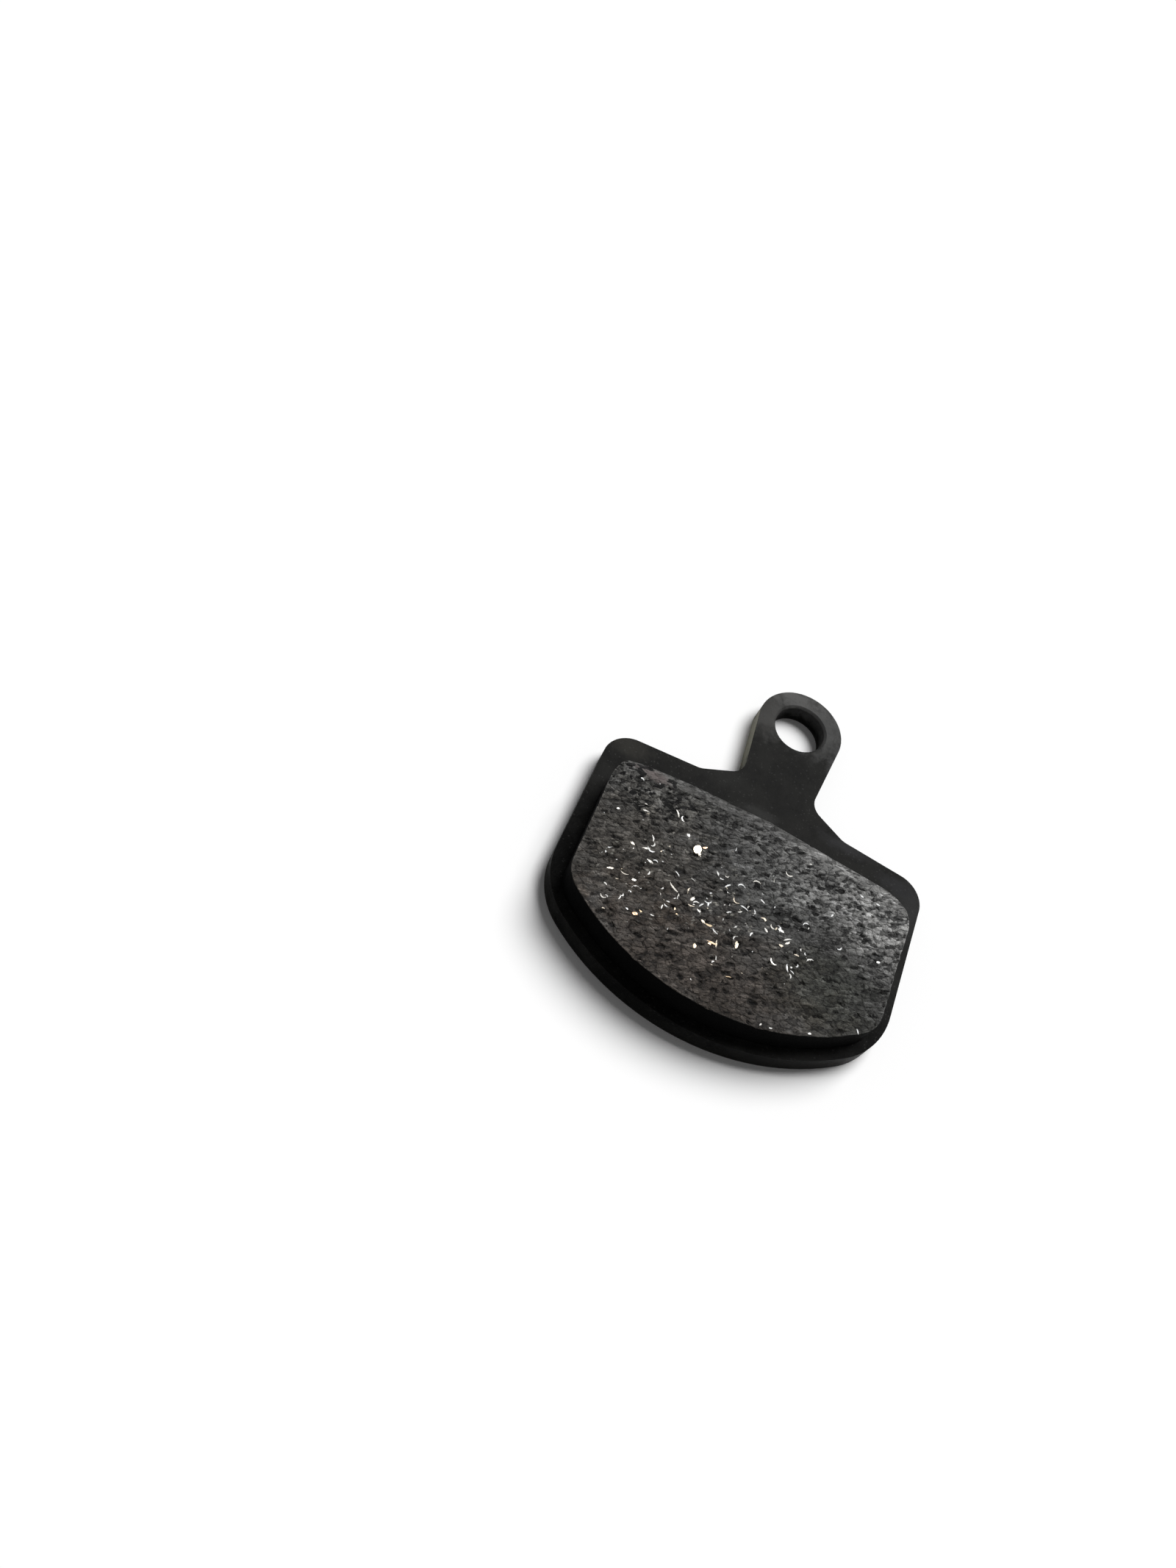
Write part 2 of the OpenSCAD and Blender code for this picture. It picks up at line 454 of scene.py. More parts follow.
# nearest and next distance to scattered cells, and a random value of the nearest
def cellField(points, size, turn, seed):
    rng = np.random.default_rng(seed)
    shift = rng.random((latticeSize, latticeSize, 2))
    value = rng.random((latticeSize, latticeSize))
    c, s = math.cos(math.radians(turn)), math.sin(math.radians(turn))
    warpU, warpV = [cellWarp["share"] * softNoise(points, cellWarp["size"], seed + i) for i in (1, 2)]
    u = (points[:, 0] * c + points[:, 1] * s) / size[0] + warpU
    v = (points[:, 1] * c - points[:, 0] * s) / size[1] + warpV
    iu, iv = np.floor(u).astype(int), np.floor(v).astype(int)
    first = np.full(len(u), np.inf)
    second = first.copy()
    pick = np.zeros(len(u))
    for du in (-1, 0, 1):
        for dv in (-1, 0, 1):
            a, b = (iu + du) % latticeSize, (iv + dv) % latticeSize
            away = np.hypot(iu + du + shift[a, b, 0] - u, iv + dv + shift[a, b, 1] - v)
            closer = away < first
            second = np.where(closer, first, np.minimum(second, away))
            pick = np.where(closer, value[a, b], pick)
            first = np.where(closer, away, first)
    return first, second, pick


def smoothStep(low, high, value):
    t = np.clip((value - low) / (high - low), 0, 1)
    return t * t * (3 - 2 * t)


# depth below the moulded face, pit mask, tone and crack mask at points in mm
def grainRelief(points):
    seed = block["seed"]
    turn = block["grainTurn"]
    near, following, flakeTone = cellField(points, block["flake"], turn, seed)
    crack = 1 - smoothStep(0.0, block["flakeCrack"], following - near)
    near, following, fleckTone = cellField(points, block["fleck"], turn + block["fleckTurn"], seed + 10)
    fleckCrack = 1 - smoothStep(0.0, block["fleckCrack"], following - near)
    near, _, pick = cellField(points, block["pit"], turn + block["pitTurn"], seed + 20)
    size = block["pitSize"] + block["pitSpread"] * pick / block["pitShare"]
    pit = np.where(pick < block["pitShare"], 1 - smoothStep(block["pitFloor"] * size, size, near), 0)
    depth = block["flakeStep"] * flakeTone + block["crack"] * crack
    depth += block["fleckStep"] * fleckTone + block["fleckDepth"] * block["crack"] * fleckCrack
    depth += block["swell"] * softNoise(points, block["swellSize"], seed + 30)
    depth += block["pitDepth"] * pit
    large, small = block["crackShares"]
    cracks = np.clip(large * crack + small * fleckCrack, 0, 1)
    large, small = block["toneShares"]
    return depth, pit, large * (1 - flakeTone) + small * (1 - fleckTone), cracks


# the block's outline in mm, walked round the CAD node's own foot edge
def footLoop(node, level):
    same = 0.001 * mm
    shape = bmesh.new()
    shape.from_mesh(node.data)
    bmesh.ops.remove_doubles(shape, verts=shape.verts, dist=same)
    shape.normal_update()
    ahead = {}
    for edge in shape.edges:
        if any(abs(v.co.z - level) > same for v in edge.verts) or len(edge.link_faces) != 2:
            continue
        flat = [f for f in edge.link_faces if f.normal.z < -0.9]
        steep = [f for f in edge.link_faces if abs(f.normal.z) < 0.1]
        if len(flat) == 1 and len(steep) == 1 and steep[0].calc_center_median().z > level:
            for a, b in (edge.verts, reversed(edge.verts)):
                ahead.setdefault(a.index, []).append(b)
    longest = []
    shape.verts.ensure_lookup_table()
    left = set(ahead)
    while left:
        at = left.pop()
        path = [shape.verts[at]]
        going = True
        while going:
            going = False
            for neighbour in ahead[path[-1].index]:
                if neighbour.index in left:
                    left.discard(neighbour.index)
                    path.append(neighbour)
                    going = True
                    break
        if len(path) > len(longest):
            longest = path
    loop = np.array([[v.co.x / mm, v.co.y / mm] for v in longest])
    shape.free()
    x, y = loop[:, 0], loop[:, 1]
    area = np.sum(x * np.roll(y, -1) - np.roll(x, -1) * y)
    return loop if area > 0 else loop[::-1]


# the same closed outline with evenly spaced points, and its inward directions
def evenLoop(loop, step):
    closed = np.vstack([loop, loop[:1]])
    run = np.concatenate([[0], np.cumsum(np.hypot(*np.diff(closed, axis=0).T))])
    count = int(round(run[-1] / step))
    places = np.linspace(0, run[-1], count, endpoint=False)
    even = np.stack([np.interp(places, run, closed[:, i]) for i in (0, 1)], axis=1)
    along = np.roll(even, -2, axis=0) - np.roll(even, 2, axis=0)
    along /= np.hypot(*along.T)[:, None]
    return even, np.stack([-along[:, 1], along[:, 0]], axis=1)


def insideLoop(points, loop):
    inside = np.zeros(len(points), bool)
    x, y = points[:, 0], points[:, 1]
    for (ax, ay), (bx, by) in zip(loop, np.roll(loop, -1, axis=0)):
        if ay == by:
            continue
        crosses = (ay > y) != (by > y)
        inside ^= crosses & (x < (bx - ax) * (y - ay) / (by - ay) + ax)
    return inside


# staggered points inside an outline, each nudged a little
def fillPoints(loop, step, seed):
    rng = np.random.default_rng(seed)
    low, high = loop.min(axis=0), loop.max(axis=0)
    rows = []
    for i, y in enumerate(np.arange(low[1], high[1], step * fill["rowGap"])):
        xs = np.arange(low[0] + (i % 2) * step / 2, high[0], step)
        rows.append(np.stack([xs, np.full(len(xs), y)], axis=1))
    points = np.vstack(rows)
    return points + rng.uniform(-fill["nudge"], fill["nudge"], points.shape) * step


# triangles between an outline and the points inside it, which keep their order
def triangulate(loop, points):
    every = [Vector(p) for p in np.vstack([loop, points])]
    ring = list(range(len(loop)))
    edges = list(zip(ring, ring[1:] + ring[:1]))
    _, _, found, origins, _, _ = delaunay_2d_cdt(every, edges, [ring], 1, mergeGap)
    return [[origins[i][0] for i in face] for face in found]


# height of the CAD block's face at points in mm
def cadHeight(cad, points):
    down = Vector((0, 0, -1))
    found = [cad.ray_cast(Vector((p[0] * mm, p[1] * mm, 1.0)), down)[0] for p in points]
    return np.array([hit.z / mm if hit else np.nan for hit in found])


vertices, pits, tones, skins, faces = [], [], [], [], []


# adds points in mm with their masks, each an array or one value, and gives their numbers
def addPoints(points, heights, pit, tone, skin):
    start, count = len(vertices), len(points)
    vertices.extend(np.column_stack([points, np.broadcast_to(heights, count)]).tolist())
    for store, values in ((pits, pit), (tones, tone), (skins, skin)):
        store.extend(np.broadcast_to(values, count).tolist())
    return list(range(start, start + count))


def joinRings(lower, upper):
    for i in range(len(lower)):
        j = (i + 1) % len(lower)
        faces.append([lower[i], lower[j], upper[j], upper[i]])


# rings of points from the foot of the wall up to the ground face's edge
def wallRings(loop, inward, cad):
    rim = block["rim"]
    edgeHeight = cadHeight(cad, loop + inward * block["probe"])
    innerHeight = cadHeight(cad, loop + inward * (rim + block["probe"]))
    fineSize, broadSize = block["nickSizes"]
    crumble = softNoise(loop, fineSize, 41) * softNoise(loop, broadSize, 42)
    nick = block["nick"] * smoothStep(*block["nickSpan"], crumble)
    low = plateHigh.z / mm
    rings = []
    for row in range(block["wallRows"] + 1):
        share = row / block["wallRows"]
        heights = low + (edgeHeight - rim - nick - low) * share
        unrolled = np.column_stack([np.arange(len(loop)) * block["step"], heights])
        rough = block["skinRough"] * softNoise(unrolled, block["wallGrain"], 50)
        points = loop + inward * (rough * min(1.0, 3 * share))[:, None]    # smooth where it meets the plate
        rings.append(addPoints(points, heights, 0.0, 0.5, 1.0))
    torn = smoothStep(*block["skinTearSpan"], softNoise(loop, block["skinTear"], 44))
    wear = rim + block["nickWear"] * nick
    for turn, skin in zip(block["rimTurns"], block["skinLeft"]):
        c, s = math.cos(math.radians(turn)), math.sin(math.radians(turn))
        points = loop + inward * (block["rimInset"] + (1 - c) * wear)[:, None]
        rings.append(addPoints(points, edgeHeight - nick - rim * (1 - s), 0.0, 0.8, torn * skin))
    faceLoop = loop + inward * (block["rimInset"] + rim + block["nickWear"] * nick)[:, None]
    depth, pit, tone, _ = grainRelief(faceLoop)
    heights = innerHeight - nick * block["nickDrop"] - block["rimRelief"] * depth
    rings.append(addPoints(faceLoop, heights, pit, tone, 0.0))
    return rings, faceLoop


# relief of the points inside the ground face, with the bevel's pressed and torn look
def faceRelief(points, heights):
    depth, pit, tone, cracks = grainRelief(points)
    sunk = (blockHigh.z / mm - heights) / bevel["drop"]
    band = smoothStep(*bevel["span"], sunk)
    tear = smoothStep(bevel["tearWidth"], 0.0, np.abs(sunk - bevel["tearPlace"]))
    tear = tear * smoothStep(*bevel["tearSpan"], softNoise(points, bevel["tearSize"], 46))
    tear *= smoothStep(*bevel["tearSide"], points[:, 0]) * (sunk > 0.001)
    pit = np.maximum(pit, cracks * bevel["crackPit"]) * (1 - bevel["pitCalm"] * band)
    depth = depth * (1 - bevel["calm"] * band) + bevel["tearDepth"] * tear
    # painted sheen: the bevel band is made paler
    tone = tone + band * (bevel["tone"] - bevel["toneCalm"] * tone)
    return depth, np.maximum(pit, tear), tone


def buildBlock():
    outline = footLoop(blockNode, plateHigh.z)
    cad = BVHTree.FromObject(blockNode, bpy.context.evaluated_depsgraph_get())
    loop, inward = evenLoop(outline, block["step"])
    rings, faceLoop = wallRings(loop, inward, cad)
    for lower, upper in zip(rings, rings[1:]):
        joinRings(lower, upper)
    points = fillPoints(faceLoop, block["step"], block["seed"])
    points = points[insideLoop(points, faceLoop + inward * fill["margin"] * block["step"])]
    heights = cadHeight(cad, points)
    depth, pit, tone = faceRelief(points, heights)
    ids = rings[-1] + addPoints(points, heights - depth, pit, tone, 0.0)
    for face in triangulate(faceLoop, points):
        faces.append([ids[i] for i in face])
    return len(loop) * (block["wallRows"] + 1), rings[0], loop


skinFaces, footRing, footOutline = buildBlock()
print("face and walls:", len(vertices), "points,", len(faces), "faces")


# underside: a flat floor against the plate, and the studs that fill the keying holes
studs = {
    "radius": 1.6,
    "places": [(8.15, -17.25), (-8.15, -17.25), (5.55, -24.75), (-5.55, -24.75)],
    "segments": 96,
    "step": 0.16,
    "margin": 0.6,  # steps between the rim and the nearest point inside
    "patternShift": 40,  # mm, so that the studs don't repeat the face's grain
    "reliefShare": 0.5,
    "rimLift": 0.02,
    "least": 0.2,  # no pit comes closer than this to the plate's face, mm
    "tone": 0.4,
}


# one stud from the ring of points where it leaves the block's underside down to its rough end
def addStud(upper, circle, number):
    level, lowest = plateHigh.z / mm, blockLow.z / mm
    points = fillPoints(circle, studs["step"], 60 + number)
    away = np.hypot(*(points - studs["places"][number]).T)
    points = points[away < studs["radius"] - studs["margin"] * studs["step"]]
    depth, pit, tone, _ = grainRelief(points + studs["patternShift"])
    lower = addPoints(circle, lowest + studs["rimLift"], 0.0, studs["tone"], 0.0)
    joinRings(lower, upper)
    heights = np.minimum(lowest + studs["reliefShare"] * depth, level - studs["least"])
    ends = lower + addPoints(points, heights, pit, tone, 0.0)
    for face in triangulate(circle, points):
        faces.append([ends[i] for i in reversed(face)])


def addUnderside():
    turn = np.linspace(0, 2 * math.pi, studs["segments"], endpoint=False)
    rim = studs["radius"] * np.column_stack([np.cos(turn), np.sin(turn)])
    circles = [np.array(place) + rim for place in studs["places"]]
    rings, edges, start = [], [], 0
    for outline in (footOutline, *circles):
        ring = list(range(start, start + len(outline)))
        rings.append(ring)
        edges += zip(ring, ring[1:] + ring[:1])
        start += len(outline)
    every = [Vector(p) for p in np.vstack([footOutline, *circles])]
    _, _, found, origins, _, _ = delaunay_2d_cdt(every, edges, [], 1, mergeGap)
    ids = list(footRing)
    for circle in circles:
        ids += addPoints(circle, plateHigh.z / mm, 0.0, 0.5, 0.0)
    for face in found:
        corners = [origins[i][0] for i in face]
        middle = np.mean([every[i] for i in corners], axis=0)
        if any(math.dist(middle, place) < studs["radius"] for place in studs["places"]):
            continue
        faces.append([ids[i] for i in reversed(corners)])
    for number, circle in enumerate(circles):
        addStud([ids[i] for i in rings[number + 1]], circle, number)


addUnderside()


# points in mm with the bulges' push, kept inside the CAD block's box
def bulged(points):
    moved = np.array(points, dtype=float)
    flat = moved[:, :2].copy()
    for centre, reach, push in block["bulges"]:
        away = np.hypot(*((flat - centre) / reach).T)
        moved[:, :2] += np.exp(-away ** 2)[:, None] * np.array(push)
    return np.clip(moved, np.array(blockLow) / mm, np.array(blockHigh) / mm)


def makeBlockPiece():
    mesh = bpy.data.meshes.new("friction_block_moulding")
    mesh.from_pydata((bulged(vertices) * mm).tolist(), [], faces)
    for name, values in (("pit", pits), ("tone", tones), ("skin", skins)):
        layer = mesh.attributes.new(name, "FLOAT", "POINT")
        layer.data.foreach_set("value", np.array(values, dtype=np.float32))
    slots = np.zeros(len(faces), dtype=np.int32)
    # the walls get the moulded skin, whose near-black is also painted shade
    slots[:skinFaces] = 1    # the moulded skin
    mesh.polygons.foreach_set("material_index", slots)
    piece = newObject("friction_block_moulding", mesh)
    shape = bmesh.new()
    shape.from_mesh(mesh)
    bmesh.ops.recalc_face_normals(shape, faces=shape.faces)
    shape.to_mesh(mesh)
    openEdges = sum(1 for edge in shape.edges if not edge.is_manifold)
    shape.free()
    mesh.shade_smooth()
    counts = len(mesh.vertices), "points,", len(mesh.polygons), "faces,", openEdges, "open edges"
    print("friction block:", *counts)
    return piece


blockPiece = makeBlockPiece()

compound = {
    "tones": [
        (0.0, (0.01, 0.01, 0.01)),
        (0.2, (0.024, 0.024, 0.0235)),
        (0.4, (0.052, 0.0515, 0.05)),
        (0.55, (0.077, 0.0763, 0.074)),
        (0.8, (0.102, 0.101, 0.099)),
        (1.0, (0.165, 0.164, 0.162)),
    ],
    "pitColour": (0.003, 0.003, 0.003),
    "shadedSkinColour": (0.0022, 0.0022, 0.0022),
    "skinSpan": (0.3, 0.8),
    "shader": {"Specular IOR Level": 0.1},
    "roughness": (0.5, 0.8),
    "depths": {"fine": 0.012 * mm, "flaws": 0.03 * mm, "flecks": 0.02 * mm, "flakes": 0.05 * mm},
    # cells to the metre, stretch, turn as a share of the flakes' turn, raggedness, rarity
    "layers": {
        "flakes": (1900.0, 1.6, 1.0, 0.6, 0.93),
        "flecks": (3700.0, 1.5, 0.6, 0.5, 0.9),
        "flaws": (2700.0, 1.9, 1.2, 0.45, 0.88),
        "strands": (6000.0, 5.0, 0.8, 0.3, 0.94),
        "fine": (7000.0, 1.6, 1.0, 0.5, 0.975),
    },
    "fibres": {"Scale": 5200.0, "Stretch": 2.6, "Detail": 4.0},
    "broad": {"Scale": 700.0, "Stretch": 1.8, "Detail": 5.0},
    # what each of them gives to the tone, which lies round the middle
    "shares": {"tone": 0.26, "flakes": 0.3, "flecks": 0.22, "fine": 0.12, "fibres": 0.06, "broad": 0.22},
    "middle": 0.56,
    "edgeDark": {"flakes": 0.18, "flecks": 0.06},
    "strandLight": 0.36,
    "flawCover": 0.45,  # and more where the grains stand out
    "pitCover": 0.85,
    # painted light and painted shade over the face, paler towards the top and right, darker and warmer
    # towards the foot: centre and reach in mm, and a colour that multiplies the grains
    "areas": {
        "paintedLightTop": ((7.5, -15.0), (9.0, 4.8), (2.85, 2.86, 2.87)),
        "paintedLightMiddle": ((1.0, -18.5), (5.5, 3.2), (1.24, 1.25, 1.25)),
        "paintedLightCorner": ((11.6, -17.6), (3.4, 4.4), (2.15, 2.15, 2.15)),
        "paintedLightLeft": ((-8.0, -14.8), (6.5, 3.0), (1.38, 1.37, 1.33)),
        "paintedWarmShadeLeft": ((-9.0, -21.0), (8.0, 6.5), (1.03, 0.96, 0.88)),
        "paintedWarmShadeFoot": ((-2.0, -27.5), (13.0, 6.5), (0.95, 0.82, 0.735)),
        "paintedShadeFoot": ((2.0, -29.4), (8.5, 2.6), (0.72, 0.71, 0.7)),
        "paintedGreenShadeFoot": ((8.0, -24.2), (5.2, 4.4), (0.8, 0.83, 0.76)),
    },
    "paste": ((-10.0, -13.3), (1.9, 0.75)),  # smooth resin over the grains
    "pasteColour": (0.13, 0.112, 0.108),
    # where the grains stand out most: centre and reach in mm, strength
    "rough": [
        ((-9.8, -14.8), (4.8, 3.0), 2.4),
        ((-2.0, -14.2), (6.0, 2.6), 0.85),
        ((7.0, -16.5), (8.0, 5.8), 0.8),
        ((11.6, -19.0), (2.6, 4.0), 0.85),
    ],
    "calm": 0.95,
    "roughGain": 0.7,
    # where dull metal flecks gather, their glint painted in as a flat pale colour
    "fleckPatches": [
        ((-8.0, -22.0), (5.5, 5.0), 1.0),
        ((-0.5, -22.0), (5.5, 4.5), 1.0),
        ((-6.0, -18.0), (6.0, 3.5), 0.7),
        ((3.5, -21.5), (3.5, 3.0), 0.6),
    ],
    "fleckGlintColour": (0.26, 0.25, 0.225),
}


# the pressed black skin on the walls, its near-black tones also painted shade
shadedSkin = {
    "tones": [(0.0, 0.0011), (1.0, 0.0025)],
    "soft": {"Scale": 1500.0, "Stretch": 1.5, "Detail": 5.0},
    "grit": {"Scale": 9000.0},
    "gritDepth": 0.012 * mm,
    "roughness": (0.55, 0.75),
    "shader": {"Specular IOR Level": 0.015},
}


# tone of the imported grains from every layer, before it becomes a colour
def grainTone(tree, grains, sources, rough):
    tone = -sum(compound["shares"].values()) / 2
    for name, share in compound["shares"].items():
        tone = mathNode(tree, "ADD", mathNode(tree, "MULTIPLY", sources[name], share), tone)
    gain = mathNode(tree, "MULTIPLY", rough, compound["roughGain"])
    tone = mathNode(tree, "MULTIPLY", tone, mathNode(tree, "ADD", gain, compound["calm"]))
    tone = mathNode(tree, "ADD", tone, compound["middle"])
    for name, share in compound["edgeDark"].items():
        tone = mathNode(tree, "SUBTRACT", tone, mathNode(tree, "MULTIPLY", grains[name]["Edge"], share))
    strands = mathNode(tree, "MULTIPLY", grains["strands"]["Rare"], compound["strandLight"])
    return mathNode(tree, "ADD", tone, strands)


def makeCompound():
    material, tree = newMaterial("frictionCompound")
    sources = {}
    for name in ("pit", "tone", "skin"):
        sources[name] = addNode(tree, "ShaderNodeAttribute", attribute_name=name).outputs["Fac"]
    grains = {}
    for name, (scale, stretch, turn, ragged, rarity) in compound["layers"].items():
        values = {"Scale": scale, "Stretch": stretch, "Ragged": ragged, "Rarity": rarity}
        values["Turn"] = -math.radians(block["grainTurn"]) * turn
        grains[name] = useGroup(tree, gritTree, **values)
        sources[name] = grains[name]["Random"]
    fibres = useGroup(tree, mottleTree, **compound["fibres"])
    broad = useGroup(tree, mottleTree, **compound["broad"])["Tone"]
    sources["fibres"] = fibres["Tone"]
    sources["broad"] = broad
    faceLevel = blockHigh.z / mm
    rough = patchesMask(tree, compound["rough"], broad, faceLevel)
    colour = colourRamp(tree, grainTone(tree, grains, sources, rough), compound["tones"])
    # painted light and painted shade, area by area over the ground face
    colour = tintAreas(tree, colour, compound["areas"], broad, faceLevel, "MULTIPLY")
    pasted = patchMask(tree, *compound["paste"], broad, faceLevel)
    colour = mixColour(tree, pasted, colour, compound["pasteColour"])
    # metal flecks whose glint is painted in as a pale colour
    gathered = patchesMask(tree, compound["fleckPatches"], broad, faceLevel)
    metal = mathNode(tree, "MULTIPLY", gathered, grains["fine"]["Rare"])
    colour = mixColour(tree, metal, colour, compound["fleckGlintColour"])
    cover = mathNode(tree, "MULTIPLY", rough, compound["flawCover"])
    cover = mathNode(tree, "ADD", cover, compound["flawCover"])
    flaws = mathNode(tree, "MAXIMUM", grains["flaws"]["Rare"], grains["flecks"]["Rare"])
    colour = mixColour(tree, mathNode(tree, "MULTIPLY", flaws, cover), colour, compound["pitColour"])
    pits = mathNode(tree, "MULTIPLY", sources["pit"], compound["pitCover"])
    colour = mixColour(tree, pits, colour, compound["pitColour"])
    # the skin's near-black over the torn edge, partly painted shade
    skin = mapRange(tree, sources["skin"], *compound["skinSpan"])
    colour = mixColour(tree, skin, colour, compound["shadedSkinColour"])
    roughness = mapRange(tree, fibres["Height"], *heightSpan, *compound["roughness"])
    heights = {name: outputs["Height"] for name, outputs in grains.items()}
    heights["flaws"] = mathNode(tree, "SUBTRACT", 1.0, grains["flaws"]["Rare"])
    normal = None
    for name, depth in compound["depths"].items():
        normal = bumpFrom(tree, heights[name], depth, after=normal)
    finishSurface(tree, colour, roughness, normal, compound["shader"])
    return material


def makeShadedSkin():
    material, tree = newMaterial("mouldedShadedSkin")
    soft = useGroup(tree, mottleTree, **shadedSkin["soft"])
    grit = useGroup(tree, gritTree, **shadedSkin["grit"])
    base = colourRamp(tree, soft["Tone"], shadedSkin["tones"])
    roughness = mapRange(tree, soft["Height"], *heightSpan, *shadedSkin["roughness"])
    normal = bumpFrom(tree, grit["Height"], shadedSkin["gritDepth"])
    finishSurface(tree, base, roughness, normal, shadedSkin["shader"])
    return material


blockPiece.data.materials.append(makeCompound())
blockPiece.data.materials.append(makeShadedSkin())
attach(blockPiece, "root")
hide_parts("friction_block")
print("friction block finished")


# metal chips set in the ground face
chips = {
    # x, y, length, width in mm, turn in degrees, bend, tint 0 steel to 1 copper
    "large": [
        (-4.59, -17.95, 0.8, 0.62, 80, 0.1, 0.6),
        (-4.3, -18.25, 0.45, 0.24, 130, 0.2, 0.4),
        (-4.1, -17.5, 0.42, 0.16, 35, 0.3, 0.95),
        (-2.85, -22.85, 0.75, 0.17, 150, 0.3, 0.3),
        (-2.2, -23.4, 0.62, 0.22, 138, -0.4, 0.5),
        (-1.0, -24.8, 0.85, 0.16, 3, 0.1, 0.8),
        (-1.15, -24.98, 0.4, 0.24, 60, 0.2, 0.95),
        (0.75, -24.01, 0.62, 0.24, 99, 0.2, 0.55),
        (2.12, -20.82, 0.7, 0.24, 170, 0.5, 0.55),
        (2.49, -21.65, 0.55, 0.16, 142, 0.0, 0.2),
        (3.54, -21.1, 0.62, 0.2, 172, 0.2, 0.2),
        (-4.4, -23.55, 0.42, 0.26, 120, 0.2, 0.6),
        (-4.2, -23.95, 0.36, 0.16, 140, 0.2, 0.75),
        (-5.18, -22.04, 0.98, 0.13, 150, -0.3, 0.35),
        (-3.53, -22.15, 0.5, 0.22, 66, 0.4, 0.4),
        (-8.07, -23.05, 0.38, 0.3, 140, 0.0, 0.3),
        (-8.21, -19.99, 0.66, 0.18, 26, 0.2, 0.3),
        (-8.92, -22.94, 0.7, 0.09, 3, 0.6, 0.4),
        (-10.04, -23.05, 0.55, 0.19, 26, 0.1, 0.4),
        (-1.68, -23.57, 0.55, 0.17, 9, 0.3, 0.7),
        (-7.62, -20.87, 0.46, 0.2, 153, 0.0, 0.2),
        (4.32, -21.81, 0.5, 0.18, 50, 0.3, 0.3),
        (-9.3, -20.18, 0.4, 0.22, 168, 0.1, 0.4),
        (-6.64, -25.16, 0.52, 0.2, 142, 0.3, 0.75),
        (-7.04, -25.6, 0.42, 0.24, 21, 0.1, 0.95),
        (3.95, -22.27, 0.45, 0.19, 173, -0.2, 0.5),
        (-5.65, -17.15, 0.34, 0.25, 152, 0.0, 0.1),
        (-2.45, -19.06, 0.45, 0.14, 128, 0.3, 0.1),
        (-9.42, -16.91, 0.55, 0.14, 5, 0.2, 0.2),
        (0.24, -22.61, 0.5, 0.11, 57, 0.1, 0.1),
        (1.02, -26.66, 0.85, 0.1, 21, 0.0, 0.75),
        (-2.12, -25.7, 0.4, 0.26, 100, 0.2, 0.6),
        (-8.51, -24.93, 0.45, 0.1, 90, 0.6, 0.1),
        (11.38, -19.59, 0.32, 0.2, 21, 0.0, 0.1),
        (10.07, -14.76, 0.38, 0.13, 178, 0.0, 0.0),
        (8.68, -14.75, 0.32, 0.15, 159, 0.0, 0.0),
        (-3.91, -20.6, 0.6, 0.09, 159, 0.2, 0.1),
        (5.13, -23.57, 0.33, 0.17, 17, 0.1, 0.1),
        (4.35, -29.05, 0.24, 0.12, 60, 0.1, 0.2),
        (5.1, -28.95, 0.34, 0.12, 10, 0.3, 0.1),
        (7.95, -27.9, 0.3, 0.16, 30, 0.1, 0.1),
        (11.3, -25.9, 0.42, 0.1, 120, 0.2, 0.0),
    ],
    "small": 180,
    "sizes": (0.09, 0.8),
    "sizePower": 2.4,  # the higher, the fewer long ones
    "widthShare": (0.15, 0.55),
    "widest": 0.12,
    "turns": (30, 55),  # mean and spread, degrees
    "bend": 1.3,
    "tints": (0.0, 0.0, 0.0, 0.05, 0.1, 0.15, 0.25, 0.5),
    "thickness": 0.09,
    "proud": 0.03,
    "arch": 1.6,  # brings the ends down
    "tilt": 0.02,
    "ridge": 0.02,
    "edgeShare": 0.6,
    "edgeDrop": 0.012,
    "clear": 0.004,  # kept clear under the block's top, mm
    "top": -13.6,  # no small one lies above this Y
    "keepIn": (0.97, 1.0),  # nor outside the block's outline, narrowed by this
    "gather": 0.6,
    "seed": 47,
    # where the small ones gather: centre, reach in mm, share
    "drifts": [
        ((-7.5, -23.0), (4.8, 3.2), 0.31),
        ((-1.0, -22.2), (4.6, 3.8), 0.33),
        ((-7.5, -18.0), (5.5, 3.0), 0.09),
        ((1.0, -19.0), (4.5, 2.6), 0.05),
        ((3.5, -22.0), (3.0, 2.6), 0.1),
        ((-8.4, -15.2), (3.0, 1.3), 0.03),
        ((0.0, -20.5), (12.0, 8.5), 0.09),
    ],
}


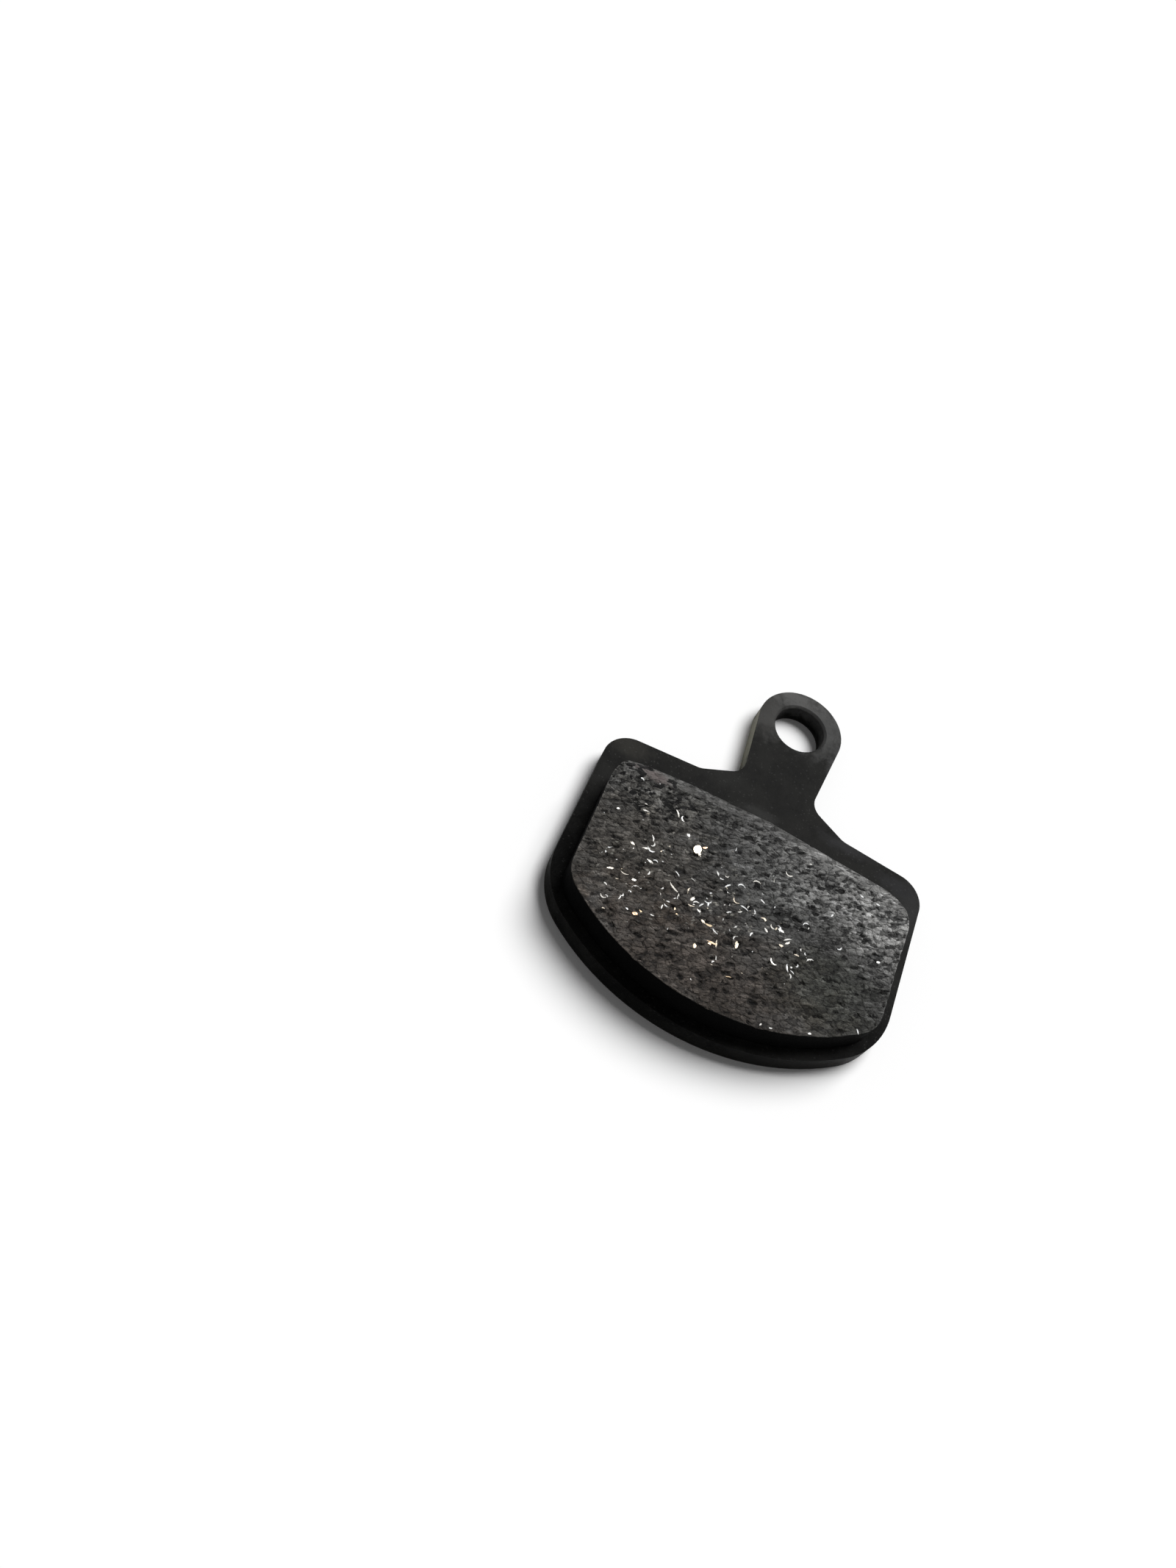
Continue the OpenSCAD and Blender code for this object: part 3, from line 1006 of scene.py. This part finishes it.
# one long faceted chip, pressed into the surface that lies under its middle
def shard(shape, tintLayer, surface, rng, x, y, length, width, turn, bend, tint):
    taper = [rng.uniform(0.2, 0.5), rng.uniform(0.75, 1), 1.0, rng.uniform(0.7, 1), rng.uniform(0.15, 0.45)]
    base = math.radians(turn)
    tilt = rng.uniform(-chips["tilt"], chips["tilt"])
    hit = surface.ray_cast(Vector((x * mm, y * mm, 1.0)), Vector((0, 0, -1)))[0]
    if hit is None:
        return
    ground = hit.z / mm
    foot = ground - chips["thickness"]
    ceiling = cadBox[1].z / mm - chips["clear"]
    rows = []
    for i, share in enumerate(taper):
        t = i / (len(taper) - 1) - 0.5
        heading = base + bend * t
        px = x + length * t * math.cos(heading)
        py = y + length * t * math.sin(heading)
        side = (-math.sin(base + 2 * bend * t), math.cos(base + 2 * bend * t))
        half = width / 2 * share
        lift = chips["proud"] * (1 - chips["arch"] * t * t) + tilt * t
        crown = min(ground + lift + rng.uniform(0, chips["ridge"]), ceiling)
        edge = min(ground + lift * chips["edgeShare"] - chips["edgeDrop"], ceiling - 0.01)
        ring = []
        for across, z in ((1, foot), (1, edge), (rng.uniform(-0.3, 0.3), crown), (-1, edge), (-1, foot)):
            corner = ((px + side[0] * half * across) * mm, (py + side[1] * half * across) * mm, z * mm)
            ring.append(shape.verts.new(corner))
            ring[-1][tintLayer] = tint
        rows.append(ring)
    for a, b in zip(rows, rows[1:]):
        for i in range(len(a)):
            j = (i + 1) % len(a)
            shape.faces.new((a[i], a[j], b[j], b[i]))
    shape.faces.new(rows[0])
    shape.faces.new(list(reversed(rows[-1])))


def buildChips():
    rng = random.Random(chips["seed"])
    surface = BVHTree.FromObject(blockPiece, bpy.context.evaluated_depsgraph_get())
    shape = bmesh.new()
    tintLayer = shape.verts.layers.float.new("tint")
    for row in chips["large"]:
        shard(shape, tintLayer, surface, rng, *row)
    keepIn = footOutline * np.array(chips["keepIn"])
    shortest, longest = chips["sizes"]
    placed = 0
    while placed < chips["small"]:
        pick = rng.random()
        for centre, reach, share in chips["drifts"]:
            pick -= share
            if pick < 0:
                break
        x, y = [rng.gauss(middle, half * chips["gather"]) for middle, half in zip(centre, reach)]
        if y > chips["top"] or not insideLoop(np.array([[x, y]]), keepIn)[0]:
            continue
        length = shortest + (longest - shortest) * rng.random() ** chips["sizePower"]
        width = min(length * rng.uniform(*chips["widthShare"]), chips["widest"])
        tint = rng.choice(chips["tints"])
        turn = rng.gauss(*chips["turns"])
        bend = rng.uniform(-chips["bend"], chips["bend"])
        shard(shape, tintLayer, surface, rng, x, y, length, width, turn, bend, tint)
        placed += 1
    bmesh.ops.recalc_face_normals(shape, faces=shape.faces)
    mesh = bpy.data.meshes.new("metal_chips")
    shape.to_mesh(mesh)
    print("metal chips:", placed + len(chips["large"]), "with", len(shape.faces), "faces")
    shape.free()
    return newObject("metal_chips", mesh)


chipMetal = {
    "tints": [
        (0.0, (0.86, 0.87, 0.87)),
        (0.35, (0.90, 0.86, 0.78)),
        (0.7, (0.92, 0.74, 0.50)),
        (1.0, (0.93, 0.56, 0.36)),
    ],
    "wear": {"Scale": 6000.0, "Detail": 3.0},
    "wornSpan": (0.6, 0.72),
    "worn": (0.25, 0.23, 0.21),
    "roughness": (0.16, 0.42),
    "wearDepth": 0.02 * mm,
    "shader": {"Metallic": 1.0},
}


def makeChipMetal():
    material, tree = newMaterial("chipMetal")
    tint = addNode(tree, "ShaderNodeAttribute", attribute_name="tint").outputs["Fac"]
    colour = colourRamp(tree, tint, chipMetal["tints"])
    wear = useGroup(tree, mottleTree, **chipMetal["wear"])["Height"]
    worn = mixColour(tree, mapRange(tree, wear, *chipMetal["wornSpan"]), colour, chipMetal["worn"])
    roughness = mapRange(tree, wear, *heightSpan, *chipMetal["roughness"])
    normal = bumpFrom(tree, wear, chipMetal["wearDepth"])
    finishSurface(tree, worn, roughness, normal, chipMetal["shader"])
    return material


chipPiece = buildChips()
chipPiece.data.materials.append(makeChipMetal())
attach(chipPiece, "root")


# plain pale floor under the pad
floor = {
    "reach": 1.2,
    "gap": 0.01 * mm,
    "touch": 0.1 * mm,
    "coveredMiddle": (0.0, -20.0),  # the part that the pad hides, mm
    "coveredHalf": (11.0, 7.0),
    "seen": (0.985, 0.985, 0.985),
    "bounce": (0.4, 0.4, 0.4),
}


def makeFloor():
    shape = bmesh.new()
    bmesh.ops.create_grid(shape, x_segments=8, y_segments=8, size=floor["reach"])
    mesh = bpy.data.meshes.new("floor")
    shape.to_mesh(mesh)
    shape.free()
    made = newObject("floor", mesh)
    made.location.z = -floor["gap"]
    material, tree = newMaterial("paleFloor")
    rays = addNode(tree, "ShaderNodeLightPath").outputs
    shown = mixColour(tree, seenMask(tree, rays), floor["bounce"], floor["seen"])
    pale = addNode(tree, "ShaderNodeBsdfDiffuse", {"Color": shown})
    # clear from below, right under the pad and for what lies right on it,
    # so that the underside can be seen
    clear = addNode(tree, "ShaderNodeBsdfTransparent")
    side = addNode(tree, "ShaderNodeNewGeometry").outputs
    touching = mathNode(tree, "LESS_THAN", rays["Ray Length"], floor["touch"])
    place = addNode(tree, "ShaderNodeSeparateXYZ", {0: side["Position"]}).outputs
    away = []
    for axis, middle, half in zip("XY", floor["coveredMiddle"], floor["coveredHalf"]):
        offset = mathNode(tree, "ABSOLUTE", mathNode(tree, "SUBTRACT", place[axis], middle * mm))
        away.append(mathNode(tree, "LESS_THAN", offset, half * mm))
    covered = mathNode(tree, "MULTIPLY", *away)
    unseen = mathNode(tree, "MAXIMUM", side["Backfacing"], mathNode(tree, "MAXIMUM", touching, covered))
    mixed = {0: unseen, 1: pale.outputs[0], 2: clear.outputs[0]}
    finishMaterial(tree, addNode(tree, "ShaderNodeMixShader", mixed))
    mesh.materials.append(material)
    return made


makeFloor()


# soft studio light from behind and to the right, and an even sky
light = {
    "sky": 0.13,
    "under": 0.8,  # evens out the underside, which the floor otherwise shades
    "backdrop": 1.0,
    "keyTurn": 26,  # degrees from +Y towards +X
    "keyRise": 52,
    "keyDistance": 0.5,
    "keySpread": 36,
    "keyPower": 3.58,
}


def makeLight():
    world = bpy.data.worlds.new("studio")
    bpy.context.scene.world = world
    world.use_nodes = True
    tree = world.node_tree
    tree.nodes.clear()
    generated = addNode(tree, "ShaderNodeTexCoord").outputs["Generated"]
    heading = addNode(tree, "ShaderNodeSeparateXYZ", {0: generated})
    below = mathNode(tree, "LESS_THAN", heading.outputs["Z"], 0.0)
    extra = mathNode(tree, "MULTIPLY", below, light["under"] - light["sky"])
    made = [seenMask(tree, addNode(tree, "ShaderNodeLightPath").outputs)]
    for strength in (mathNode(tree, "ADD", extra, light["sky"]), light["backdrop"]):
        values = {"Color": (1, 1, 1, 1), "Strength": strength}
        made.append(addNode(tree, "ShaderNodeBackground", values).outputs[0])
    mixed = addNode(tree, "ShaderNodeMixShader", dict(enumerate(made)))
    addNode(tree, "ShaderNodeOutputWorld", {"Surface": mixed.outputs[0]})
    lamp = bpy.data.lights.new("keyLamp", "SUN")
    lamp.angle = math.radians(light["keySpread"])
    lamp.energy = light["keyPower"]
    key = newObject("keyLamp", lamp)
    turn, rise = math.radians(light["keyTurn"]), math.radians(light["keyRise"])
    away = Vector((math.sin(turn) * math.cos(rise), math.cos(turn) * math.cos(rise), math.sin(rise)))
    target = (cadBox[0] + cadBox[1]) / 2
    key.location = target + away * light["keyDistance"]
    key.rotation_euler = away.to_track_quat("Z", "Y").to_euler()


makeLight()


# camera at the photograph's viewing angle: place and aim in mm, roll in degrees
view = {
    "place": (-16.38, -76.50, 85.48),
    "aim": (-14.15, -14.16, 0.0),
    "roll": 28.857,
    "lens": 30.35,
    "sensor": 36.0,
    "nearest": 2 * mm,
}


def makeCamera():
    data = bpy.data.cameras.new("camera")
    data.lens = view["lens"]
    data.sensor_width = view["sensor"]
    data.clip_start = view["nearest"]
    camera = newObject("camera", data)
    place, aim = Vector(view["place"]) * mm, Vector(view["aim"]) * mm
    level = (aim - place).to_track_quat("-Z", "Y").to_matrix()
    rolled = level @ Matrix.Rotation(math.radians(view["roll"]), 3, "Z")
    camera.matrix_world = Matrix.Translation(place) @ rolled.to_4x4()
    bpy.context.scene.camera = camera


makeCamera()
bpy.context.scene.view_settings.view_transform = "Standard"
print("scene ready")
